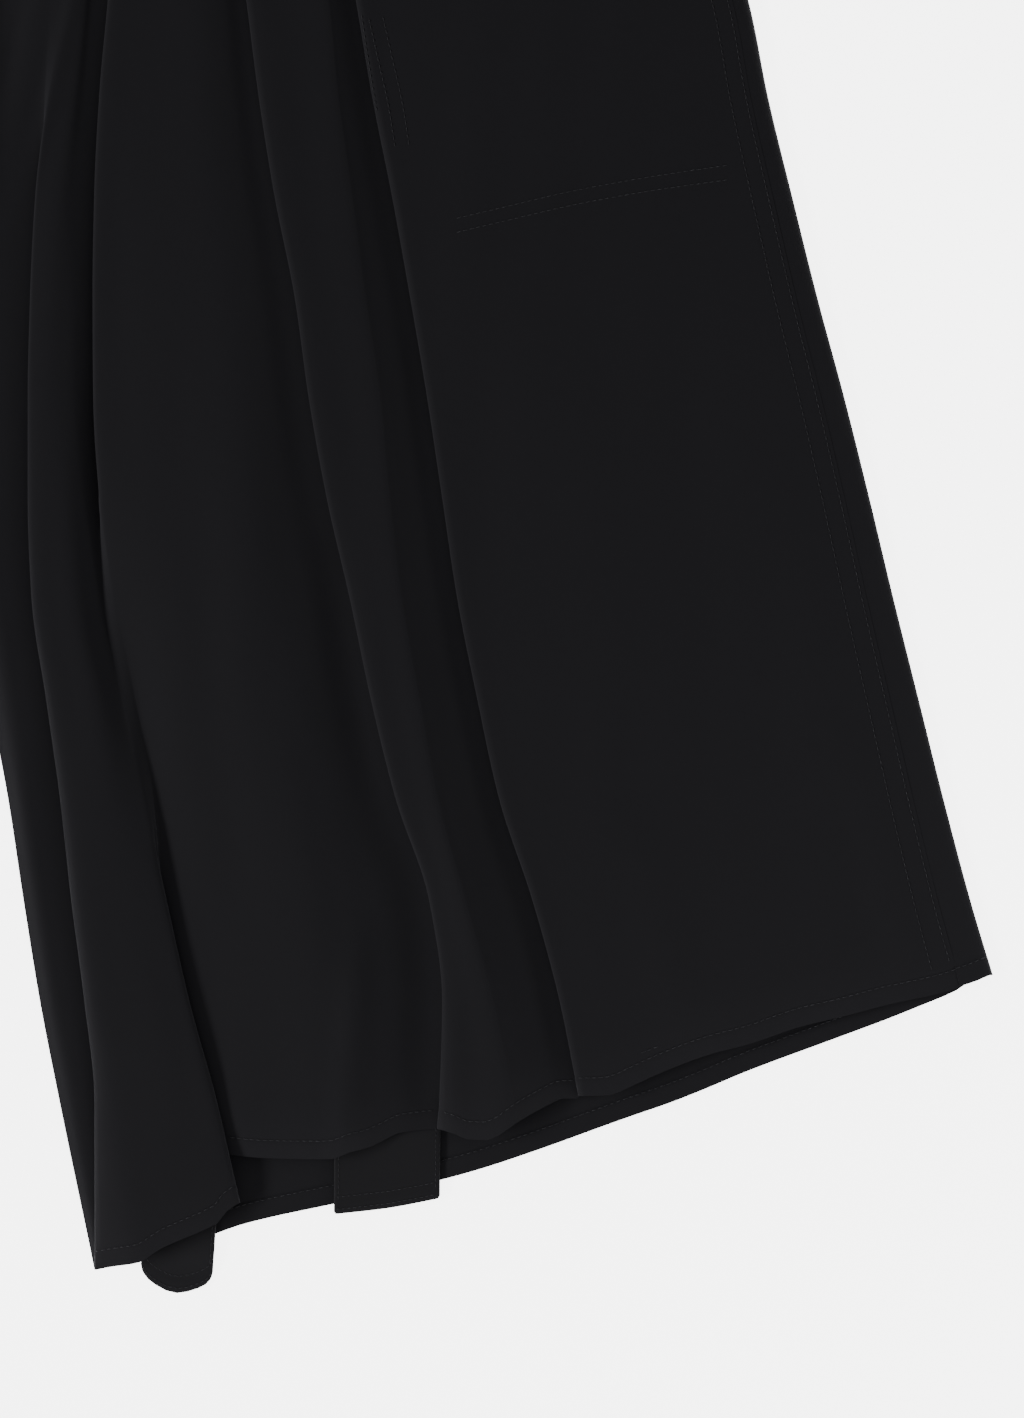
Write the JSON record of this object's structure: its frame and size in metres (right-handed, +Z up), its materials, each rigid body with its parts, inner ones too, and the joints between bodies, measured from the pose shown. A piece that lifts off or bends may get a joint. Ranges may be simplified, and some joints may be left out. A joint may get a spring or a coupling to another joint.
{
  "type": "hakama trousers",
  "caption": "Wide pleated hakama trousers in plain black cloth, laid flat front up, with waistbands, inner pockets and long cloth ties tucked inside the legs.",
  "frame": {"origin": "middle of the bounding box, on the surface that the garment lies on", "axes": "+Z up out of the surface, out of the front of the garment; +Y towards the waist; +X towards the wearer's left leg"},
  "size_m": [1.0636, 0.9418, 0.0176],
  "materials": {
    "shell_cloth": "plain woven black cloth, matt with a slight sheen",
    "band_cloth": "the same black cloth, folded double and pressed",
    "pocket_cloth": "thin plain black pocketing",
    "tie_cloth": "the same black cloth, folded double and stitched along its edges"
  },
  "bodies": {
    "root": {"front_left": "shell_cloth", "front_right": "shell_cloth", "back_left": "shell_cloth", "back_right": "shell_cloth", "waistband_front": "band_cloth", "waistband_back": "band_cloth", "pocket_left": "pocket_cloth", "pocket_right": "pocket_cloth", "tie_front_left": "tie_cloth", "tie_front_right": "tie_cloth", "tie_back_left": "tie_cloth", "tie_back_right": "tie_cloth"}
  },
  "joints": []
}
